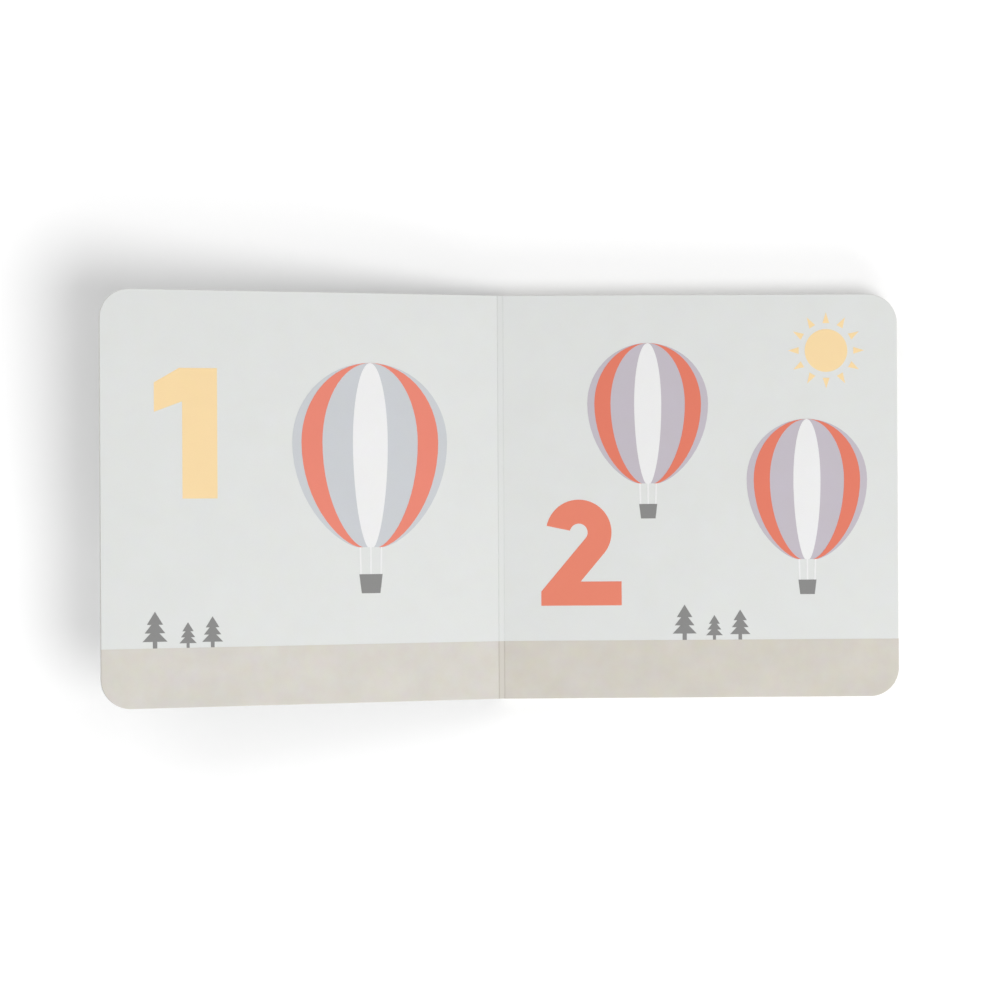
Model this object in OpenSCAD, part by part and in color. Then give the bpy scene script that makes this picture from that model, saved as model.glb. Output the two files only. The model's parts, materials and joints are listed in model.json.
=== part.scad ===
// A square board book lying open at its first spread, the front cover a little raised.
// The leaves are folded sheets glued back to back, so each gutter is a fold with two
// creases, and a thin wrap joins the two cover boards over the spine.
// The origin is the centre of the back cover's underside, +X to the right page's
// fore-edge, +Y to the head of the page and +Z up.

/* [Page] */
// Width of a page, from the gutter to the fore-edge
page_w = 158; // [120:1:220]
// Height of a page, from the tail to the head
page_h = 160; // [120:1:240]
// Radius of the rounded outer corners
corner_r = 11.5; // [4:0.5:20]

/* [Boards] */
// Thickness of a cover board
board_t = 2; // [1.4:0.1:3]
// Thickness of an inner leaf
leaf_t = 1.8; // [1.5:0.1:3]
// Number of inner leaves
leaves = 4; // [2:1:8]
// Air between two leaves
leaf_gap = 0.25; // [0.15:0.05:0.6]
// Air between a closed cover and the leaves
cover_gap = 0.4; // [0.3:0.05:0.6]

/* [Gutter and spine] */
// Width of the strip between the two creases of a gutter
crease_gap = 2.4; // [2:0.1:3.6]
// Thickness of a folded sheet
sheet_t = 0.4; // [0.3:0.05:0.5]
// Depth of a pressed crease
crease_depth = 0.15; // [0.05:0.05:0.25]
// Thickness of the wrap over the spine
wrap_t = 0.6; // [0.3:0.1:1]
// Air at the cover hinges
hinge_gap = 0.3; // [0.2:0.05:0.4]

/* [Opening] */
// Angle of the raised front cover above level
rest_angle = 15; // [0:1:30]

/* [Print] */
// Thickness of one layer of ink and varnish
ink_t = 0.05; // [0.03:0.01:0.06]
// Height of the ground along the tail of both pages
ground_h = 22.9; // [12:0.1:34]
// Height of the numeral on the left page
one_h = 50; // [30:1:60]
// Stroke of the numeral on the left page
one_stroke = 13.5; // [8:0.5:18]
// Height of the numeral on the right page
two_h = 42; // [30:1:52]
// Stroke of the numeral on the right page
two_stroke = 9.5; // [7:0.5:9.5]
// Radius of the balloon on the left page
balloon_r = 31; // [20:1:36]
// Radius of the two balloons on the right page
twin_r = 24; // [16:1:27]
// Radius of the sun's disc
sun_r = 8.5; // [5:0.5:11]
// Height of the taller fir
fir_h = 14; // [8:0.5:20]

/* [Hidden] */
$fn = 96;

// Heights, from the table up
block_t = leaves * leaf_t + (leaves - 1) * leaf_gap;
back_axis_z = board_t + cover_gap / 2;
block_z = board_t + cover_gap;
front_axis_z = block_z + block_t + cover_gap / 2;

// Gutter
crease_x = crease_gap / 2;
fold_r = crease_gap / 6;
gutter_x = -(page_w + crease_x) / 2;
lip_x = hinge_gap / 2;
panel_inset = cover_gap / 2 + sheet_t + hinge_gap;

// Colours of the boards and of the print
page_colour = [0.885, 0.89, 0.885];
wrap_colour = [0.87, 0.875, 0.87];
ground_colour = [0.84, 0.825, 0.79];
yellow = [0.985, 0.87, 0.665];
coral = [0.91, 0.49, 0.4];
white = [0.94, 0.94, 0.94];
grey_blue = [0.79, 0.8, 0.82];
mauve = [0.765, 0.74, 0.775];
dark_grey = [0.525, 0.525, 0.52];

// Places of the printed motifs, as shares of the page from its left edge and tail
one_at = [0.13, 0.5];
balloon_at = [0.665, 0.635];
left_firs_at = [0.13, 0.21, 0.27];
two_at = [0.1, 0.23];
twins_at = [[0.37, 0.73], [0.77, 0.54]];
sun_at = [0.82, 0.86];
right_firs_at = [0.46, 0.535, 0.6];
fir_sizes = [1, 0.7, 0.85];

// Shape of the balloons, as shares of their radius
tail_share = 1.32;
neck_share = 0.16;
taper = 1.35;
red_gores = [[-62, -38], [38, 62]];
white_gores = [[-13, 13]];
basket_drop = 0.34;
basket_w_share = 0.3;
basket_h_share = 0.24;
string_w = 0.6;

// Outline of a page lying right of the gutter, its two outer corners rounded
module page_outline(inner) {
    translate([inner, -page_h / 2])
        square([page_w - corner_r - inner, page_h]);
    translate([inner, -page_h / 2 + corner_r])
        square([page_w - inner, page_h - 2 * corner_r]);
    for (end = [-1, 1])
        translate([page_w - corner_r, end * (page_h / 2 - corner_r)])
            circle(corner_r);
}

// A board right of its hinge axis: its lip reaches in to the hinge at the face that
// is turned to the leaves, and one crease is pressed where the lip meets the board
module cover_section() {
    difference() {
        union() {
            translate([crease_x, -cover_gap / 2 - board_t])
                square([page_w - crease_x, board_t]);
            translate([lip_x, -cover_gap / 2 - sheet_t])
                square([crease_x - lip_x + sheet_t, sheet_t]);
        }
        translate([crease_x, -cover_gap / 2])
            crease();
    }
}

// V-groove of one pressed crease, open upwards
module crease() {
    polygon([[-crease_depth, 0.1], [-crease_depth, 0], [0, -crease_depth],
        [crease_depth, 0], [crease_depth, 0.1]]);
}

// Runs a section drawn in X and Z along the height of the page
module along_page() {
    rotate([90, 0, 0])
        linear_extrude(page_h, center = true)
            children();
}

// Cuts a run section to the rounded outline of the page
module trimmed(inner) {
    intersection() {
        children();
        translate([0, 0, -block_z])
            linear_extrude(block_z + block_t + cover_gap)
                page_outline(inner);
    }
}

module front_cover() {
    color(page_colour)
        on_left_hinge()
            mirror([1, 0, 0])
                trimmed(lip_x)
                    along_page()
                        cover_section();
}

module back_cover() {
    color(page_colour)
        translate([gutter_x, 0, back_axis_z])
            trimmed(lip_x)
                along_page()
                    cover_section();
}

// Frame of the raised front cover: the hinge axis at its origin, pages towards -X
module on_left_hinge() {
    translate([gutter_x, 0, front_axis_z])
        rotate([0, rest_angle, 0])
            children();
}

// The wrap's panel, glued along the folded edges of the leaves
module spine() {
    color(wrap_colour)
        translate([gutter_x, 0, 0])
            along_page()
                translate([-wrap_t, back_axis_z + panel_inset])
                    square([wrap_t, front_axis_z - back_axis_z - 2 * panel_inset]);
}

// Between two leaves a folded sheet opens into a drop, then runs flat to the fore-edge
module fold_cut() {
    throat = 2 * fold_r;
    translate([sheet_t + fold_r, 0])
        circle(fold_r);
    polygon([[sheet_t + fold_r, fold_r], [sheet_t + fold_r, -fold_r],
        [sheet_t + fold_r + throat, -leaf_gap / 2], [sheet_t + fold_r + throat, leaf_gap / 2]]);
    translate([sheet_t + fold_r, -leaf_gap / 2])
        square([page_w, leaf_gap]);
}

// Between the backs of two folds, in the middle of a leaf, the glue leaves a notch
module glue_notch() {
    polygon([[-0.1, fold_r], [0, fold_r], [fold_r, 0], [0, -fold_r], [-0.1, -fold_r]]);
}

module block_section() {
    pitch = leaf_t + leaf_gap;
    difference() {
        square([page_w, block_t]);
        for (i = [1 : leaves - 1])
            translate([0, i * pitch - leaf_gap / 2])
                fold_cut();
        for (i = [0 : leaves - 1])
            translate([0, i * pitch + leaf_t / 2])
                glue_notch();
        translate([crease_x, block_t])
            crease();
        translate([crease_x, 0])
            mirror([0, 1])
                crease();
    }
}

module page_block() {
    color(page_colour)
        translate([gutter_x, 0, block_z])
            trimmed(0)
                along_page()
                    block_section();
}

// Ink on the left page: drawn from the page's left edge and tail, on its inner face
module left_ink(layer = 0) {
    on_left_hinge()
        translate([-page_w, -page_h / 2, -cover_gap / 2 + layer * ink_t])
            linear_extrude(ink_t)
                children();
}

// Ink on the right page, on the top leaf
module right_ink(layer = 0) {
    translate([gutter_x, -page_h / 2, block_z + block_t + layer * ink_t])
        linear_extrude(ink_t)
            children();
}

// Ground along the tail of a right page, broken by the pressed crease
module ground(inner) {
    difference() {
        intersection() {
            translate([0, page_h / 2])
                page_outline(inner);
            square([page_w, ground_h]);
        }
        translate([crease_x - crease_depth, -1])
            square([2 * crease_depth, ground_h + 2]);
    }
}

// Upright with a slanted flag, bold and plain
module numeral_one() {
    flag = one_stroke * 0.8;
    polygon([[flag, 0], [flag + one_stroke, 0], [flag + one_stroke, one_h],
        [flag * 0.9, one_h], [0, one_h - one_stroke * 0.42],
        [0, one_h - one_stroke * 1.25], [flag, one_h - one_stroke * 0.95]]);
}

// Round bow, straight diagonal and flat foot, bold and plain
module numeral_two() {
    bow_r = two_h * 0.31;
    eye_r = bow_r - two_stroke;
    width = two_h * 0.76;
    bow_at = [width * 0.47, two_h - bow_r];
    slant = -40;
    tip = 168;
    away = [cos(slant), sin(slant)];
    fall = [sin(slant), -cos(slant)];
    arc_step = (tip - slant) / 32;
    top = [for (a = [tip : -arc_step : slant]) bow_at + bow_r * [cos(a), sin(a)]];
    eye = [for (a = [slant : arc_step : tip]) bow_at + eye_r * [cos(a), sin(a)]];
    knee = bow_at + bow_r * away;
    inner = bow_at + eye_r * away;
    polygon(concat(top, [knee + fall * (knee[1] - two_stroke) / -fall[1],
        [width, two_stroke], [width, 0], [0, 0],
        inner + fall * inner[0] / -fall[0]], eye));
}

// Half width of a balloon of radius 1 at latitude a, round above and drawn in below
function reach(a) = a > 0 ? cos(a) : neck_share + (1 - neck_share) * pow(cos(a), taper);
// Height there, above the widest ring
function rise(a) = a > 0 ? sin(a) : tail_share * sin(a);

// The cloth between two meridians, seen from the side
module gore(r, from, to) {
    right = [for (a = [-90 : 6 : 90]) r * [sin(to) * reach(a), rise(a)]];
    left = [for (a = [90 : -6 : -90]) r * [sin(from) * reach(a), rise(a)]];
    polygon(concat(right, left));
}

module basket(r) {
    top = -r * (tail_share + basket_drop);
    w = r * basket_w_share;
    h = r * basket_h_share;
    polygon([[-w / 2, top], [w / 2, top], [w * 0.4, top - h], [-w * 0.4, top - h]]);
}

// Lines from the neck down to the rim of the basket
module strings(r) {
    neck_y = -r * tail_share;
    rim_y = -r * (tail_share + basket_drop);
    for (side = [-1, 0, 1]) {
        neck_x = side * r * neck_share * 0.85;
        rim_x = side * (r * basket_w_share / 2 - string_w);
        polygon([[neck_x - string_w / 2, neck_y], [neck_x + string_w / 2, neck_y],
            [rim_x + string_w / 2, rim_y], [rim_x - string_w / 2, rim_y]]);
    }
}

// Round disc with a ring of short pointed rays
module sun() {
    rays = 12;
    circle(sun_r);
    for (i = [0 : rays - 1])
        rotate(i * 360 / rays)
            translate([sun_r * 1.28, 0])
                polygon([[0, -sun_r * 0.16], [sun_r * 0.5, 0], [0, sun_r * 0.16]]);
}

// Fir of three tiers on a short trunk
module fir(h) {
    trunk = h * 0.18;
    tier = (h - trunk) / 3;
    translate([-h * 0.06, 0])
        square([h * 0.12, trunk]);
    for (i = [0 : 2])
        translate([0, trunk + i * tier * 0.85])
            polygon([[-h * (0.34 - i * 0.06), 0], [h * (0.34 - i * 0.06), 0], [0, tier * 1.3]]);
}

module at_page(share) {
    translate([share[0] * page_w, share[1] * page_h])
        children();
}

module firs(shares) {
    for (i = [0 : len(shares) - 1])
        translate([shares[i] * page_w, ground_h])
            fir(fir_h * fir_sizes[i]);
}

module print_1_ground() {
    color(ground_colour)
        left_ink()
            translate([page_w, 0])
                mirror([1, 0])
                    ground(lip_x);
}

module print_1_numeral() {
    color(yellow)
        left_ink()
            at_page(one_at)
                numeral_one();
}

module print_1_balloon() {
    color(grey_blue)
        left_ink()
            at_page(balloon_at)
                gore(balloon_r, -90, 90);
}

module print_1_red_gores() {
    color(coral)
        left_ink(1)
            at_page(balloon_at)
                for (g = red_gores)
                    gore(balloon_r, g[0], g[1]);
}

module print_1_white_gores() {
    color(white) {
        left_ink(1)
            at_page(balloon_at)
                for (g = white_gores)
                    gore(balloon_r, g[0], g[1]);
        left_ink()
            at_page(balloon_at)
                strings(balloon_r);
    }
}

module print_1_basket_and_firs() {
    color(dark_grey)
        left_ink() {
            at_page(balloon_at)
                basket(balloon_r);
            firs(left_firs_at);
        }
}

module print_2_ground() {
    color(ground_colour)
        right_ink()
            ground(0);
}

module print_2_numeral() {
    color(coral)
        right_ink()
            at_page(two_at)
                numeral_two();
}

module print_2_balloons() {
    color(mauve)
        right_ink()
            for (p = twins_at)
                at_page(p)
                    gore(twin_r, -90, 90);
}

module print_2_red_gores() {
    color(coral)
        right_ink(1)
            for (p = twins_at)
                at_page(p)
                    for (g = red_gores)
                        gore(twin_r, g[0], g[1]);
}

module print_2_white_gores() {
    color(white) {
        right_ink(1)
            for (p = twins_at)
                at_page(p)
                    for (g = white_gores)
                        gore(twin_r, g[0], g[1]);
        right_ink()
            for (p = twins_at)
                at_page(p)
                    strings(twin_r);
    }
}

module print_2_baskets_and_firs() {
    color(dark_grey)
        right_ink() {
            for (p = twins_at)
                at_page(p)
                    basket(twin_r);
            firs(right_firs_at);
        }
}

module print_2_sun() {
    color(yellow)
        right_ink()
            at_page(sun_at)
                sun();
}

front_cover();
back_cover();
spine();
page_block();
print_1_ground();
print_1_numeral();
print_1_balloon();
print_1_red_gores();
print_1_white_gores();
print_1_basket_and_firs();
print_2_ground();
print_2_numeral();
print_2_balloons();
print_2_red_gores();
print_2_white_gores();
print_2_baskets_and_firs();
print_2_sun();
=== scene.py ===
import json
import math

import bpy
import numpy as np
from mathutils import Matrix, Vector


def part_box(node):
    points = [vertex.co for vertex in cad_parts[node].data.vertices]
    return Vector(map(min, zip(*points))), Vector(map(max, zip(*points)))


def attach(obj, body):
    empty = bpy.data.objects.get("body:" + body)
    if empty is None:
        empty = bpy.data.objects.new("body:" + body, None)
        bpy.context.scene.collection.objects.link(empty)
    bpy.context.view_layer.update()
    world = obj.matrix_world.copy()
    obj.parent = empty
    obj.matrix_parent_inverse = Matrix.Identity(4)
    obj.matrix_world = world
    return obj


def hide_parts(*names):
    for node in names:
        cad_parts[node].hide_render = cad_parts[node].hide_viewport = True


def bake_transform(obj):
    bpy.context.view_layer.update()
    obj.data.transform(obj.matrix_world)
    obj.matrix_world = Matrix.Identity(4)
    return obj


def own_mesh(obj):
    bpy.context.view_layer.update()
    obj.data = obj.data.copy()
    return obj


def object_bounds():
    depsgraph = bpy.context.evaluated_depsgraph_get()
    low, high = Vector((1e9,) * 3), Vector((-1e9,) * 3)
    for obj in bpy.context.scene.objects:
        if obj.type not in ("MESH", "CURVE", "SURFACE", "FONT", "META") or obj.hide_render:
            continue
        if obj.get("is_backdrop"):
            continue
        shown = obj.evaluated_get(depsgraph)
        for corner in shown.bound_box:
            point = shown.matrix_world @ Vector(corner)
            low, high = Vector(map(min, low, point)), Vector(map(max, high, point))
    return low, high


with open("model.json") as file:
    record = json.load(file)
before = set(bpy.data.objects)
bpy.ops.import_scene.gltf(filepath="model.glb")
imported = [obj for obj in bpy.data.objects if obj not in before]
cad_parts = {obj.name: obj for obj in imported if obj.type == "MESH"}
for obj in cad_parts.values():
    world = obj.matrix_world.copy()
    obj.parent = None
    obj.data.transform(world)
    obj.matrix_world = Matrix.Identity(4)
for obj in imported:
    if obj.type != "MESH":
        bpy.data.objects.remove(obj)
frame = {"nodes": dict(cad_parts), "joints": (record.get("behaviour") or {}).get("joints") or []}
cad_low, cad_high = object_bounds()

# The view: straight down on the open spread from 1 m, as the book was photographed.
# The focal length is in pixels of the 1000 pixel wide picture, over a 36 mm sensor.
mm = 0.001
picture_width = 1000
focal_px = 2475.6
sensor = 36.0
camera_place = (-98.6 * mm, -2.6 * mm, 991.8 * mm)
camera_turn_deg = (0.084, -1.087, -0.311)
nearest_seen = 0.05
farthest_seen = 20.0

camera_data = bpy.data.cameras.new("camera")
camera_data.sensor_width = sensor
camera_data.lens = focal_px / picture_width * sensor
camera_data.clip_start = nearest_seen
camera_data.clip_end = farthest_seen
camera = bpy.data.objects.new("camera", camera_data)
camera.location = camera_place
camera.rotation_mode = "ZYX"
camera.rotation_euler = [math.radians(a) for a in camera_turn_deg]
bpy.context.scene.collection.objects.link(camera)
bpy.context.scene.camera = camera
bpy.context.scene.view_settings.view_transform = "Standard"

# The table and the light: a white sheet under a wide soft lamp high at the right front,
# a weaker one behind at the left, a low one in front and an even white sky. The sheet
# and the sky look white to the camera; the sheet keeps the book's shadow and, by glowing
# less near the book, adds painted shadow there.
sky_strength = 0.35
table_half = 6.0
table_albedo = 0.92
# The sheet's glow next to the book, kept low there as painted shadow; it rises to plain white at
# the reach below.
table_lift = 0.11
white_reach = 0.25


def lamp(name, share, azimuth, elevation, distance, size):
    """Disk lamp aimed at the origin from the compass angle (0 is +X, 90 is +Y) and the
    height given in degrees. Its power is share times the light that shows a colour as
    it is written: share * pi * pi * distance squared, over the sine of the height."""
    a, e = math.radians(azimuth), math.radians(elevation)
    flat = math.cos(e)
    place = distance * Vector((flat * math.cos(a), flat * math.sin(a), math.sin(e)))
    data = bpy.data.lights.new(name, "AREA")
    data.shape = "DISK"
    data.size = size
    data.energy = share * math.pi ** 2 * distance ** 2 / math.sin(e)
    made = bpy.data.objects.new(name, data)
    made.location = place
    made.rotation_mode = "QUATERNION"
    made.rotation_quaternion = (-place).to_track_quat("-Z", "Y")
    made.visible_camera = False
    bpy.context.scene.collection.objects.link(made)


lamp("key_lamp", share=0.43, azimuth=-38.0, elevation=62.0, distance=1.5, size=0.85)
lamp("back_lamp", share=0.12, azimuth=125.0, elevation=45.0, distance=1.5, size=0.9)
lamp("front_lamp", share=0.1, azimuth=-66.0, elevation=18.0, distance=1.6, size=0.85)


def plain_sight(tree):
    """1 where a ray comes from the camera, a gloss or a clear surface, and 0 elsewhere:
    the largest of the three flags."""
    rays = tree.nodes.new("ShaderNodeLightPath")
    seen = rays.outputs["Is Camera Ray"]
    for other in ("Is Glossy Ray", "Is Transmission Ray"):
        either = tree.nodes.new("ShaderNodeMath")
        either.operation = "MAXIMUM"
        tree.links.new(seen, either.inputs[0])
        tree.links.new(rays.outputs[other], either.inputs[1])
        seen = either.outputs[0]
    return seen


world = bpy.data.worlds.new("sky")
world.use_nodes = True
sky = world.node_tree
sky.nodes["Background"].inputs["Color"].default_value = (1.0, 1.0, 1.0, 1.0)
brightness = sky.nodes.new("ShaderNodeMapRange")
brightness.inputs["To Min"].default_value = sky_strength
brightness.inputs["To Max"].default_value = 1.0
sky.links.new(plain_sight(sky), brightness.inputs["Value"])
sky.links.new(brightness.outputs["Result"], sky.nodes["Background"].inputs["Strength"])
bpy.context.scene.world = world

table_mesh = bpy.data.meshes.new("table")
table_mesh.from_pydata(
    [(-table_half, -table_half, 0.0), (table_half, -table_half, 0.0),
     (table_half, table_half, 0.0), (-table_half, table_half, 0.0)], [], [(0, 1, 2, 3)])
table = bpy.data.objects.new("table", table_mesh)
bpy.context.scene.collection.objects.link(table)
table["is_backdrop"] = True

table_paint = bpy.data.materials.new("white_sheet")
table_paint.use_nodes = True
sheet_tree = table_paint.node_tree
sheet_tree.nodes.clear()
matte = sheet_tree.nodes.new("ShaderNodeBsdfDiffuse")
matte.inputs["Color"].default_value = (table_albedo, table_albedo, table_albedo, 1.0)
glow = sheet_tree.nodes.new("ShaderNodeEmission")
both = sheet_tree.nodes.new("ShaderNodeAddShader")
sheet_out = sheet_tree.nodes.new("ShaderNodeOutputMaterial")

# The sheet's glow grows to plain white with the distance from the book's own rectangle:
# the length of what is left of X and Y past its half sizes. Its weaker glow next to the
# book is painted shadow, added to the lamps' real one.
away = sheet_tree.nodes.new("ShaderNodeTexCoord").outputs["Object"]
half_size = (cad_high - cad_low) / 2
middle = (cad_high + cad_low) / 2
for operation, value in (("SUBTRACT", (middle[0], middle[1], 0.0)), ("ABSOLUTE", None),
                         ("SUBTRACT", (half_size[0], half_size[1], 0.0)),
                         ("MAXIMUM", (0.0, 0.0, 0.0)), ("LENGTH", None)):
    step = sheet_tree.nodes.new("ShaderNodeVectorMath")
    step.operation = operation
    sheet_tree.links.new(away, step.inputs[0])
    if value is not None:
        step.inputs[1].default_value = value
    away = step.outputs["Value" if operation == "LENGTH" else "Vector"]
rim = sheet_tree.nodes.new("ShaderNodeMapRange")
rim.inputs["From Max"].default_value = white_reach
rim.inputs["To Min"].default_value = table_lift
rim.inputs["To Max"].default_value = 1.0
shown = sheet_tree.nodes.new("ShaderNodeMath")
shown.operation = "MULTIPLY"
sheet_tree.links.new(away, rim.inputs["Value"])
sheet_tree.links.new(rim.outputs["Result"], shown.inputs[0])
sheet_tree.links.new(plain_sight(sheet_tree), shown.inputs[1])
sheet_tree.links.new(shown.outputs[0], glow.inputs["Strength"])
sheet_tree.links.new(matte.outputs[0], both.inputs[0])
sheet_tree.links.new(glow.outputs[0], both.inputs[1])
sheet_tree.links.new(both.outputs[0], sheet_out.inputs["Surface"])
table.data.materials.append(table_paint)

# The cover boards: white card about 2 mm thick, a printed sheet glued to each face and
# cut through together, so the edge shows the white core between two thin paper skins.
# The front one stands raised on its hinge, the back one lies on the table.
front_hinge = next(j for j in frame["joints"] if j["name"] == "front_cover_hinge")
back_hinge = next(j for j in frame["joints"] if j["name"] == "back_cover_hinge")
cover_rise = math.radians(-front_hinge["range_deg"][0])
gutter = np.array(front_hinge["pos_m"])
back_axis = np.array(back_hinge["pos_m"])
block_low, block_high = (np.array(corner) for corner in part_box("page_block"))
board_low, board_high = (np.array(corner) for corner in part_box("back_cover"))
page_w = block_high[0] - gutter[0]
page_h = block_high[1] - block_low[1]
board_t = board_high[2] - board_low[2]
play = back_axis[2] - board_high[2]
corner_r = 11.5 * mm
corner_points = 25
crease = 1.2 * mm
edge_round = 0.28 * mm
round_points = 6
hinge_share = 0.3
sharp_angle = math.radians(35.0)


def colour(r, g, b):
    """Linear shader value of a colour as a picture shows it, channels from 0 to 255."""
    c = np.array((r, g, b)) / 255.0
    linear = np.where(c <= 0.04045, c / 12.92, ((c + 0.055) / 1.055) ** 2.4)
    return (*linear.tolist(), 1.0)


def page_loop(inner, inset):
    """Closed loop round a page, seen from above: two square corners at the hinge, two
    quarter circles at the fore-edge, and all of it moved in by inset, but only by a
    share of that at the hinge, where the printed sheet runs on over the fold."""
    arc = np.linspace(0.0, np.pi / 2, corner_points)
    r = corner_r - inset
    cx, cy = page_w - corner_r, page_h / 2 - corner_r
    near, far = inner + hinge_share * inset, page_h / 2 - inset
    tail = np.c_[cx + r * np.sin(arc), -cy - r * np.cos(arc)]
    head = np.c_[cx + r * np.cos(arc), cy + r * np.sin(arc)]
    return np.r_[[(near, -far)], tail, head, [(near, far)]]


def card_rings(inner, low, high):
    """Loops down the edge of a card: a quarter circle in from each face and a straight
    cut between, as an array of loops by points by X, Y, Z."""
    turn = np.linspace(0.0, np.pi / 2, round_points)
    inset = edge_round * (1 - np.sin(turn))
    drop = edge_round * (1 - np.cos(turn))
    insets = np.r_[inset, inset[::-1]]
    heights = np.r_[high - drop, low + drop[::-1]]
    rings = []
    for i, z in zip(insets, heights):
        flat = page_loop(inner, i)
        rings.append(np.c_[flat, np.full(len(flat), z)])
    return np.array(rings)


def build(name, rings, **values):
    """Object from closed loops: quads between neighbouring loops, and over each flat
    end a ladder of quads whose rungs join the first point of the loop to its last, the
    second to the last but one and so on. It is shaded smooth but for the rims of the
    ends and corners over the sharp angle. Each further value, one for each point or
    loop, is kept under its own name."""
    rows, cols = rings.shape[:2]
    k, i = np.meshgrid(np.arange(rows - 1), np.arange(cols), indexing="ij")
    j = (i + 1) % cols
    this, below = k * cols, (k + 1) * cols
    quads = np.stack([this + i, below + i, below + j, this + j], -1)
    rung = np.arange(cols // 2 - 1)
    ladder = np.stack([rung, rung + 1, cols - 2 - rung, cols - 1 - rung], -1)
    faces = np.r_[quads.reshape(-1, 4), ladder, ladder[:, ::-1] + (rows - 1) * cols]
    mesh = bpy.data.meshes.new(name)
    mesh.from_pydata(rings.reshape(-1, 3).tolist(), [], faces.tolist())
    mesh.shade_smooth()
    mesh.set_sharp_from_angle(angle=sharp_angle)
    ends = np.empty(2 * len(mesh.edges), int)
    mesh.edges.foreach_get("vertices", ends)
    sharp = np.empty(len(mesh.edges), bool)
    mesh.edges.foreach_get("use_edge_sharp", sharp)
    loop = ends.reshape(-1, 2) // cols
    sharp |= (loop[:, 0] == loop[:, 1]) & np.isin(loop[:, 0], (0, rows - 1))
    mesh.edges.foreach_set("use_edge_sharp", sharp)
    for key, value in values.items():
        mark = mesh.attributes.new(key, "FLOAT", "POINT")
        flat = np.broadcast_to(value, (rows, cols)).astype(np.float32)
        mark.data.foreach_set("value", flat.ravel())
    mesh.update()
    made = bpy.data.objects.new(name, mesh)
    bpy.context.scene.collection.objects.link(made)
    return made


def on_front_hinge(points):
    """Points of a right page mirrored to the left and turned up about the front hinge."""
    x, y, z = -points[..., 0], points[..., 1], points[..., 2]
    c, s = math.cos(cover_rise), math.sin(cover_rise)
    return np.stack([gutter[0] + x * c + z * s, y, gutter[2] - x * s + z * c], -1)


# The paper's grain: cells of each noise to a metre, and how far it sways the finish.
clouds_per_m = 70.0
grain_per_m = 2600.0
fibre_per_m = 900.0
warmth_per_m = 150.0
flush_per_m = 190.0
flush_share = 0.6
film_smoothest, film_roughest = 0.5, 0.68
tooth_depth = 0.02 * mm


def paper_grain():
    """Node group of one print or paper face: the colour with faint clouds and fine
    grain, a roughness that follows the fibres, and the paper's tooth as a normal."""
    group = bpy.data.node_groups.new("paper_grain", "ShaderNodeTree")
    for name, in_out, kind in (("Color", "INPUT", "Color"), ("Clouds", "INPUT", "Float"),
                               ("Grain", "INPUT", "Float"), ("Tooth", "INPUT", "Float"),
                               ("Color", "OUTPUT", "Color"),
                               ("Roughness", "OUTPUT", "Float"),
                               ("Normal", "OUTPUT", "Vector")):
        group.interface.new_socket(name, in_out=in_out, socket_type="NodeSocket" + kind)
    new, link = group.nodes.new, group.links.new
    inside = new("NodeGroupInput")
    outside = new("NodeGroupOutput")
    place = new("ShaderNodeTexCoord")

    def noise(cells_per_m, detail, rough):
        """Noise in space, with so many cells to a metre, about 0.5."""
        made = new("ShaderNodeTexNoise")
        made.inputs["Scale"].default_value = cells_per_m
        made.inputs["Detail"].default_value = detail
        made.inputs["Roughness"].default_value = rough
        link(place.outputs["Object"], made.inputs["Vector"])
        return made.outputs["Fac"]

    def swing(source, amount, share=1.0):
        """Factor about 1 from a noise about 0.5: 1 + (noise - 0.5) * share * amount."""
        centred = new("ShaderNodeMath")
        centred.operation = "MULTIPLY_ADD"
        centred.inputs[1].default_value = share
        centred.inputs[2].default_value = -0.5 * share
        scaled = new("ShaderNodeMath")
        scaled.operation = "MULTIPLY_ADD"
        scaled.inputs[2].default_value = 1.0
        link(source, centred.inputs[0])
        link(centred.outputs[0], scaled.inputs[0])
        link(amount, scaled.inputs[1])
        return scaled.outputs[0]

    def times(a, b):
        """One factor times another."""
        product = new("ShaderNodeMath")
        product.operation = "MULTIPLY"
        link(a, product.inputs[0])
        link(b, product.inputs[1])
        return product.outputs[0]

    clouds = noise(clouds_per_m, detail=4.0, rough=0.55)
    grain = noise(grain_per_m, detail=3.0, rough=0.6)
    fibre = noise(fibre_per_m, detail=5.0, rough=0.65)
    warmth = noise(warmth_per_m, detail=3.0, rough=0.5)
    flush = noise(flush_per_m, detail=3.0, rough=0.5)

    cloudy, grainy = inside.outputs["Clouds"], inside.outputs["Grain"]
    shade = times(swing(clouds, cloudy), swing(grain, grainy))
    factors = new("ShaderNodeCombineColor")
    link(shade, factors.inputs["Red"])
    link(times(shade, swing(flush, cloudy, flush_share)), factors.inputs["Green"])
    link(times(shade, swing(warmth, cloudy)), factors.inputs["Blue"])
    dyed = new("ShaderNodeMix")
    dyed.data_type = "RGBA"
    dyed.blend_type = "MULTIPLY"
    dyed.inputs["Factor"].default_value = 1.0
    link(inside.outputs["Color"], dyed.inputs["A"])
    link(factors.outputs[0], dyed.inputs["B"])
    link(dyed.outputs["Result"], outside.inputs["Color"])

    dull = new("ShaderNodeMapRange")
    dull.inputs["To Min"].default_value = film_smoothest
    dull.inputs["To Max"].default_value = film_roughest
    link(fibre, dull.inputs["Value"])
    link(dull.outputs["Result"], outside.inputs["Roughness"])

    bump = new("ShaderNodeBump")
    bump.inputs["Distance"].default_value = tooth_depth
    link(fibre, bump.inputs["Height"])
    link(inside.outputs["Tooth"], bump.inputs["Strength"])
    link(bump.outputs["Normal"], outside.inputs["Normal"])
    return group


grain_group = paper_grain()
film_gloss = 0.35


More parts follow.
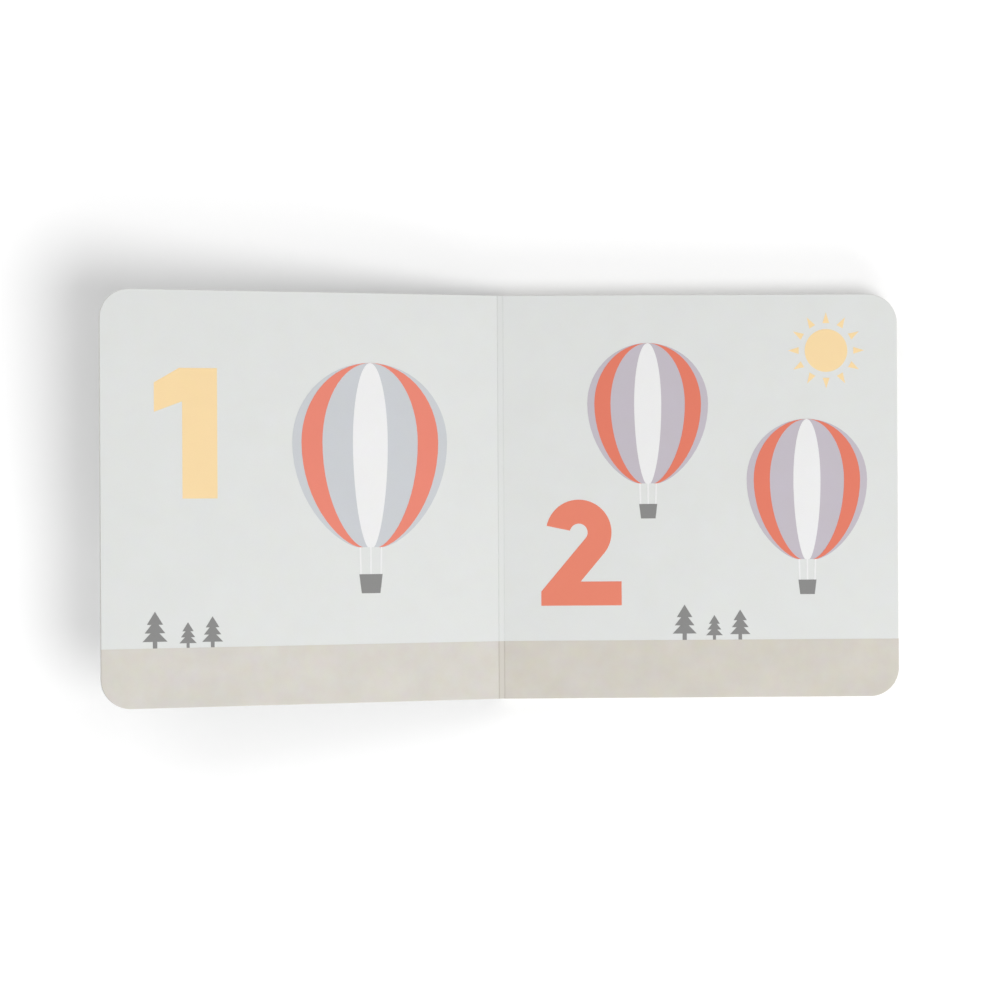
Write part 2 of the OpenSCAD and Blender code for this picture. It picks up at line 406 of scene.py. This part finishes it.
def printed(name, rgb, clouds=0.05, grain=0.05, tooth=0.35):
    """Matte film over print: one even colour with the grain of the sheet under it."""
    made = bpy.data.materials.new(name)
    made.use_nodes = True
    shader = made.node_tree.nodes["Principled BSDF"]
    shader.inputs["Specular IOR Level"].default_value = film_gloss
    group = made.node_tree.nodes.new("ShaderNodeGroup")
    group.node_tree = grain_group
    group.inputs["Color"].default_value = rgb
    group.inputs["Clouds"].default_value = clouds
    group.inputs["Grain"].default_value = grain
    group.inputs["Tooth"].default_value = tooth
    made.node_tree.links.new(group.outputs["Color"], shader.inputs["Base Color"])
    made.node_tree.links.new(group.outputs["Roughness"], shader.inputs["Roughness"])
    made.node_tree.links.new(group.outputs["Normal"], shader.inputs["Normal"])
    return made


# The cut edge: the core's tones between two values of its noise, and as shares of the
# card's thickness the paper skin, where the core is in full and half a glue line.
page_rgb = colour(225, 227, 225)
core_shadow, core_light = colour(222, 220, 214), colour(239, 238, 234)
core_from, core_to = 0.3, 0.7
core_cells_per_m = 520.0
fibre_squeeze = 13.0
skin_share = 0.04
core_full = 0.9
half_glue_line = 0.035
glue_tone = 0.82


def card(name, rgb, sheets):
    """Printed faces round a cut edge: where through is between the two paper skins the
    white core shows, with a fine glue line between its sheets and fibres that lie along
    them, because the noise runs faster through the card than along it."""
    made = printed(name, rgb)
    new, link = made.node_tree.nodes.new, made.node_tree.links.new
    shader = made.node_tree.nodes["Principled BSDF"]
    face = next(n for n in made.node_tree.nodes if n.type == "GROUP")
    depth = new("ShaderNodeAttribute")
    depth.attribute_name = "through"

    place = new("ShaderNodeTexCoord")
    axes = new("ShaderNodeSeparateXYZ")
    squeezed = new("ShaderNodeMath")
    squeezed.operation = "MULTIPLY_ADD"
    squeezed.inputs[1].default_value = fibre_squeeze * board_t
    along = new("ShaderNodeCombineXYZ")
    fibres = new("ShaderNodeTexNoise")
    fibres.inputs["Scale"].default_value = core_cells_per_m
    fibres.inputs["Detail"].default_value = 5.0
    link(place.outputs["Object"], axes.inputs[0])
    link(depth.outputs["Fac"], squeezed.inputs[0])
    link(axes.outputs["Z"], squeezed.inputs[2])
    link(axes.outputs["X"], along.inputs["X"])
    link(axes.outputs["Y"], along.inputs["Y"])
    link(squeezed.outputs[0], along.inputs["Z"])
    link(along.outputs[0], fibres.inputs["Vector"])
    core = new("ShaderNodeValToRGB")
    core.color_ramp.elements[0].position = core_from
    core.color_ramp.elements[0].color = core_shadow
    core.color_ramp.elements[1].position = core_to
    core.color_ramp.elements[1].color = core_light
    link(fibres.outputs["Fac"], core.inputs["Fac"])

    layers = new("ShaderNodeValToRGB")
    layers.color_ramp.interpolation = "EASE"
    ramp = layers.color_ramp.elements
    ramp[0].position, ramp[0].color = 0.0, (0.0, 0.0, 0.0, 1.0)
    ramp[1].position, ramp[1].color = 1.0, (0.0, 0.0, 0.0, 1.0)
    for at, value in ((skin_share * core_full, 0.0), (skin_share, 1.0),
                      (1 - skin_share, 1.0), (1 - skin_share * core_full, 0.0)):
        step = layers.color_ramp.elements.new(at)
        step.color = (value, value, value, 1.0)
    link(depth.outputs["Fac"], layers.inputs["Fac"])

    glue = new("ShaderNodeMath")
    glue.operation = "PINGPONG"
    glue.inputs[1].default_value = 0.5 / sheets
    lines = new("ShaderNodeMapRange")
    lines.inputs["From Max"].default_value = half_glue_line
    lines.inputs["To Min"].default_value = glue_tone
    lines.inputs["To Max"].default_value = 1.0
    link(depth.outputs["Fac"], glue.inputs[0])
    link(glue.outputs[0], lines.inputs["Value"])

    lined = new("ShaderNodeMix")
    lined.data_type = "RGBA"
    lined.blend_type = "MULTIPLY"
    lined.inputs["Factor"].default_value = 1.0
    link(core.outputs["Color"], lined.inputs["A"])
    link(lines.outputs["Result"], lined.inputs["B"])
    whole = new("ShaderNodeMix")
    whole.data_type = "RGBA"
    link(layers.outputs["Color"], whole.inputs["Factor"])
    link(face.outputs["Color"], whole.inputs["A"])
    link(lined.outputs["Result"], whole.inputs["B"])
    link(whole.outputs["Result"], shader.inputs["Base Color"])
    return made


def through_of(rings, low, high):
    """Depth of each point in its card: 0 on the lower face, 1 on the upper."""
    return (rings[..., 2] - low) / (high - low)


cover_card = card("cover_card", page_rgb, 1)

rings = card_rings(crease, -play - board_t, -play)
through = through_of(rings, -play - board_t, -play)
front = build("front_cover_board", on_front_hinge(rings)[:, ::-1], through=through[:, ::-1])
front.data.materials.append(cover_card)
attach(front, "front")
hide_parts("front_cover")

back = build("back_cover_board", rings + (back_axis[0], 0.0, back_axis[2]), through=through)
back.data.materials.append(cover_card)
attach(back, "back")
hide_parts("back_cover")

# The inner leaves: four cards, each two folded sheets glued back to back, with a hair
# of air between them. Hand trimming leaves two of them a little short at the fore-edge.
leaf_count = 4
leaf_t = 1.8 * mm
leaf_pitch = (block_high[2] - block_low[2] - leaf_t) / (leaf_count - 1)
leaf_creep = (0.0, -0.16 * mm, 0.0, -0.1 * mm)

leaf_card = card("leaf_card", page_rgb, 2)
for n in range(leaf_count):
    low = block_low[2] + n * leaf_pitch
    rings = card_rings(crease, low, low + leaf_t)
    through = through_of(rings, low, low + leaf_t)
    reach = (rings[..., 0] - crease) / (page_w - crease)
    rings[..., 0] += gutter[0] + leaf_creep[n] * reach
    leaf = build(f"leaf_{n + 1}", rings, through=through)
    leaf.data.materials.append(leaf_card)
    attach(leaf, "leaves")
    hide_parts("page_block")

# The gutter folds: every sheet runs on from one leaf to the next, turning back on
# itself at the gutter round a small drop-shaped hollow. Its round back is glued to the
# spine and, in the middle of each leaf, to the back of its neighbour.
half_pitch = leaf_pitch / 2
half_gap = (leaf_pitch - leaf_t) / 2
lap = 1.5 * mm
glue_inset = 0.01 * mm
back_bend = (0.9 * mm, 0.2 * mm)
back_side = 0.5 * mm
drop_neck = (0.85 * mm, 0.42 * mm)
drop_end = 0.4 * mm
drop_side = 0.36 * mm
corner_cuts = 3


def softened(corners):
    """Corner cutting: so many times over, each stretch keeps only its points at a
    quarter and at three quarters, and the two ends stay."""
    line = np.array(corners)
    for _ in range(corner_cuts):
        cuts = np.stack([0.75 * line[:-1] + 0.25 * line[1:],
                         0.25 * line[:-1] + 0.75 * line[1:]], 1)
        line = np.r_[line[:1], cuts.reshape(-1, 2), line[-1:]]
    return line


def hairpin(corners):
    """Line in X and Z that runs through its corners to the last one, at the tip, and
    back through their mirror images below."""
    upper = np.array(corners)
    return softened(np.r_[upper, upper[-2::-1] * (1, -1)])


def sheet_rings(plain, face, centre_z, edge=edge_round):
    """Loops of a bent sheet from the tail to the head of the page, with the depth of
    each point in its card. Its two sides are lines in X and Z measured from the gutter,
    point against point. It ends a hair inside the cards' own edges, and there the
    printed face is drawn in toward the plain side along a quarter circle. Loops that
    run clockwise, so that their area comes out negative, are turned round."""
    turn = np.linspace(np.pi / 2, 0.0, round_points)
    inset = edge * (1 - np.sin(turn))
    drawn = edge * (1 - np.cos(turn))
    far = page_h / 2 - glue_inset
    y = np.r_[inset - far, far - inset[::-1]]
    drawn = np.r_[drawn, drawn[::-1]][:, None]
    thickness = np.linalg.norm(plain - face, axis=1)
    printed_side = face + drawn[..., None] * (plain - face) / thickness[:, None]
    shape = printed_side.shape
    section = np.hstack([np.broadcast_to(plain, shape), printed_side[:, ::-1]])
    depth = np.hstack([np.broadcast_to(thickness, shape[:2]),
                       np.broadcast_to(drawn, shape[:2])])
    x, z = section[0].T
    if np.sum(x * np.roll(z, -1) - np.roll(x, -1) * z) < 0:
        section, depth = section[:, ::-1], depth[:, ::-1]
    x, z = section[..., 0], section[..., 1]
    y = np.broadcast_to(y[:, None], x.shape)
    return np.stack([gutter[0] + x, y, centre_z + z], -1), depth / leaf_t


glued = half_pitch - glue_inset
fold_back = hairpin([(lap, glued), (back_bend[0], glued), (back_bend[1], glued),
                     (0.0, back_side), (0.0, 0.0)])
fold_face = hairpin([(lap, half_gap + glue_inset), (crease, half_gap + glue_inset),
                     drop_neck, (drop_end, drop_side), (drop_end, 0.0)])
for n in range(1, leaf_count):
    rings, through = sheet_rings(fold_back, fold_face,
                                 block_low[2] + n * leaf_pitch - half_gap)
    fold = build(f"gutter_fold_{n}", rings, through=through)
    fold.data.materials.append(leaf_card)
    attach(fold, "leaves")
    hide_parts("page_block")

# The last fold: the printed paper between the bottom leaf and the back cover, closed to
# a hairpin under the leaves.
sheet_t = 0.36 * mm
last_face = play + glue_inset
last_back = last_face + sheet_t
last_bend = 0.7 * mm
last_side = last_face + 0.06 * mm

rings, through = sheet_rings(
    hairpin([(lap, last_back), (crease, last_back), (last_bend, last_back),
             (0.0, last_back), (0.0, 0.0)]),
    hairpin([(lap, last_face), (crease, last_face), (last_bend, last_side),
             (sheet_t, last_side), (sheet_t, 0.0)]), back_axis[2])
last_fold = build("last_fold", rings, through=through)
last_fold.data.materials.append(leaf_card)
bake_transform(last_fold)

# The spine: the stretch of the outer wrap glued along the backs of the folds, lined
# with thin card whose inner corners are pressed round.
spine_low, spine_high = (np.array(corner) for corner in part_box("spine"))
spine_t = spine_high[0] - spine_low[0]
wrap_t = 0.3 * mm
wrap_edge = 0.08 * mm
corner_press = np.array((0.0, 0.03, 0.5)) * mm

wrap_paper = printed("wrap_paper", colour(223, 225, 223))
levels = np.r_[spine_low[2] + corner_press, spine_high[2] - corner_press[::-1]]
lining = softened(np.c_[np.array((-wrap_t, 0.0, 0.0, 0.0, 0.0, -wrap_t)), levels])
outside = softened(np.c_[np.full(len(levels), -spine_t), levels])
rings = sheet_rings(lining, outside, 0.0, wrap_edge)[0]
panel = build("spine_panel", rings)
panel.data.materials.append(wrap_paper)
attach(panel, "leaves")
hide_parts("spine")

# The wrap's two hinges: from the spine it dips into a groove and lines the front
# cover's hinge edge, and below it rounds the corner and runs in under the back cover.
# Their middle lines, in X and Z from the axis of each cover:
groove = np.array([(-0.45, -0.9), (-0.45, -0.5), (-0.86, -0.4), (-1.16, -0.5),
                   (-1.26, -0.72), (-1.51, -1.66)]) * mm
corner = np.array([(-0.45, 0.9), (-0.45, -0.6), (-0.45, -1.65), (-0.3, -2.04), (0.2, -2.04),
                   (1.19, -2.04)]) * mm


def sides(line, thickness):
    """The two sides of a sheet from its middle line: half a thickness to the right and
    to the left of its run, square to it."""
    run = np.gradient(line, axis=0)
    run /= np.linalg.norm(run, axis=1)[:, None]
    aside = thickness / 2 * np.c_[run[:, 1], -run[:, 0]]
    return line + aside, line - aside


inner, outer = sides(softened(groove), wrap_t)
rings = sheet_rings(inner, outer, gutter[2], wrap_edge)[0]
front_wrap = build("wrap_hinge_front", rings)
front_wrap.data.materials.append(wrap_paper)
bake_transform(front_wrap)

outer, inner = sides(softened(corner), wrap_t)
rings = sheet_rings(inner, outer, back_axis[2], wrap_edge)[0]
back_wrap = build("wrap_hinge_back", rings)
back_wrap.data.materials.append(wrap_paper)
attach(back_wrap, "leaves")
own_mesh(back_wrap)

# The gutter strip: the printed sheet between its two pressed creases, the only paper
# that joins the raised cover to the leaves. Its print carries painted shade: a little
# darker than the pages all over, and darker still along the creases.
ground_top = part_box("print_2_ground")[1][1]
crease_depth = 0.07 * mm
crease_width = 0.07
overlap = 0.04
strip_points = 61
crease_shade_reach = 0.24
# Painted shade: the strip's flat tones sit a little below the page and ground inks, and its
# crease tones darker still.
page_flat, page_crease_shade = colour(223, 225, 223), colour(212, 214, 212)
ground_flat, ground_crease_shade = colour(207, 202, 193), colour(176, 170, 160)


def strip_line():
    """Printed side of the strip in X and Z: it eases from the height of the cover's face
    to that of the top leaf, as 3t^2 - 2t^3, dips as a bell curve at each crease and runs
    on a little way into both cards."""
    c, s = math.cos(cover_rise), math.sin(cover_rise)
    left = np.array((-crease * c - play * s, crease * s - play * c))
    right = np.array((crease, -play))
    t = np.linspace(-overlap, 1.0 + overlap, strip_points)
    eased = np.clip(t, 0.0, 1.0)
    dips = np.exp(-(t / crease_width) ** 2) + np.exp(-((1 - t) / crease_width) ** 2)
    x = left[0] + (right[0] - left[0]) * t
    z = left[1] + (right[1] - left[1]) * eased ** 2 * (3 - 2 * eased)
    return np.c_[x, z - crease_depth * dips]


strip_print = card("strip_print", page_rgb, 1)
strip_tree = strip_print.node_tree
where = strip_tree.nodes.new("ShaderNodeTexCoord")
height = strip_tree.nodes.new("ShaderNodeSeparateXYZ")
below = strip_tree.nodes.new("ShaderNodeMath")
below.operation = "LESS_THAN"
below.inputs[1].default_value = ground_top
across = strip_tree.nodes.new("ShaderNodeAttribute")
across.attribute_name = "across"
nearest = strip_tree.nodes.new("ShaderNodeMath")
nearest.operation = "PINGPONG"
nearest.inputs[1].default_value = 0.5
# Where the painted crease shade fades: 0 on a crease, 1 at the reach and beyond.
crease_shade_fade = strip_tree.nodes.new("ShaderNodeMapRange")
crease_shade_fade.interpolation_type = "SMOOTHSTEP"
crease_shade_fade.inputs["From Max"].default_value = crease_shade_reach
strip_tree.links.new(where.outputs["Object"], height.inputs[0])
strip_tree.links.new(height.outputs["Y"], below.inputs[0])
strip_tree.links.new(across.outputs["Fac"], nearest.inputs[0])
strip_tree.links.new(nearest.outputs[0], crease_shade_fade.inputs["Value"])


def mixed(mask, low_end, high_end):
    """Colour that a mask moves from one end to the other, each a colour or a socket."""
    made = strip_tree.nodes.new("ShaderNodeMix")
    made.data_type = "RGBA"
    strip_tree.links.new(mask, made.inputs["Factor"])
    for end, socket in ((low_end, made.inputs["A"]), (high_end, made.inputs["B"])):
        if isinstance(end, tuple):
            socket.default_value = end
        else:
            strip_tree.links.new(end, socket)
    return made.outputs["Result"]


# The painted shade: crease tones at the creases, flat tones elsewhere, beige below the ground's
# top.
flat = mixed(below.outputs[0], page_flat, ground_flat)
creased = mixed(below.outputs[0], page_crease_shade, ground_crease_shade)
strip_face = next(n for n in strip_tree.nodes if n.type == "GROUP")
strip_tree.links.new(mixed(crease_shade_fade.outputs["Result"], creased, flat),
                     strip_face.inputs["Color"])

top = strip_line()
under = sides(top, 2 * sheet_t)[0]
rings, through = sheet_rings(under, top, gutter[2])
reach = rings[..., 0] - rings[..., 0].min()
strip = build("gutter_strip", rings, through=through, across=reach / reach.max())
strip.data.materials.append(strip_print)
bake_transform(strip)

# The ground: a beige band printed across the foot of both pages and out over their
# edges, so its film follows the face and the first half of the rounded edge.
film_t = 0.03 * mm
film_points = 4
ground_clouds = 0.17
left_ground, right_ground = colour(213, 209, 201), colour(210, 205, 195)


def ground_rings(face):
    """Loops of the film: out along the rounded edge as far as 45 degrees at the film's
    thickness off the board, and back along the board itself."""
    turn = np.linspace(0.0, np.pi / 4, film_points)
    rings = []
    for lift, angles in ((film_t, turn), (0.0, turn[::-1])):
        for a in angles:
            inset = edge_round * (1 - np.sin(a)) - lift * np.sin(a)
            z = face - edge_round * (1 - np.cos(a)) + lift * np.cos(a)
            loop = page_loop(crease, inset)
            foot = loop[:len(loop) // 2]
            side = (foot[-1][0], ground_top)
            foot = np.r_[foot, [side, (foot[0][0], ground_top)]]
            rings.append(np.c_[foot, np.full(len(foot), z)])
    return np.array(rings)


for name, node, body, rgb in (
        ("ground_print_left", "print_1_ground", "front", left_ground),
        ("ground_print_right", "print_2_ground", "leaves", right_ground)):
    rings = ground_rings(-play if body == "front" else block_high[2])
    if body == "front":
        rings = on_front_hinge(rings)[:, ::-1]
    else:
        rings[..., 0] += gutter[0]
    ground = build(name, rings)
    ground.data.materials.append(printed("ink_" + node, rgb, clouds=ground_clouds))
    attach(ground, body)
    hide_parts(node)

# The printed fields: balloons, numerals, sun and firs in flat inks under the matte film.
# Each colour of a page is one layer on the card, and takes its own ink.
yellow, coral = colour(250, 220, 167), colour(232, 131, 106)
unprinted, dark_grey = colour(239, 239, 239), colour(134, 134, 133)
inks = {
    "print_1_numeral": yellow,
    "print_1_balloon": colour(202, 205, 209),
    "print_1_red_gores": colour(233, 132, 112),
    "print_1_white_gores": unprinted,
    "print_1_basket_and_firs": dark_grey,
    "print_2_numeral": coral,
    "print_2_sun": yellow,
    "print_2_balloons": colour(195, 188, 197),
    "print_2_red_gores": colour(228, 122, 98),
    "print_2_white_gores": unprinted,
    "print_2_baskets_and_firs": dark_grey,
}
for node, rgb in inks.items():
    field = frame["nodes"][node]
    field.data.materials.clear()
    field.data.materials.append(printed("ink_" + node, rgb))

low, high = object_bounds()
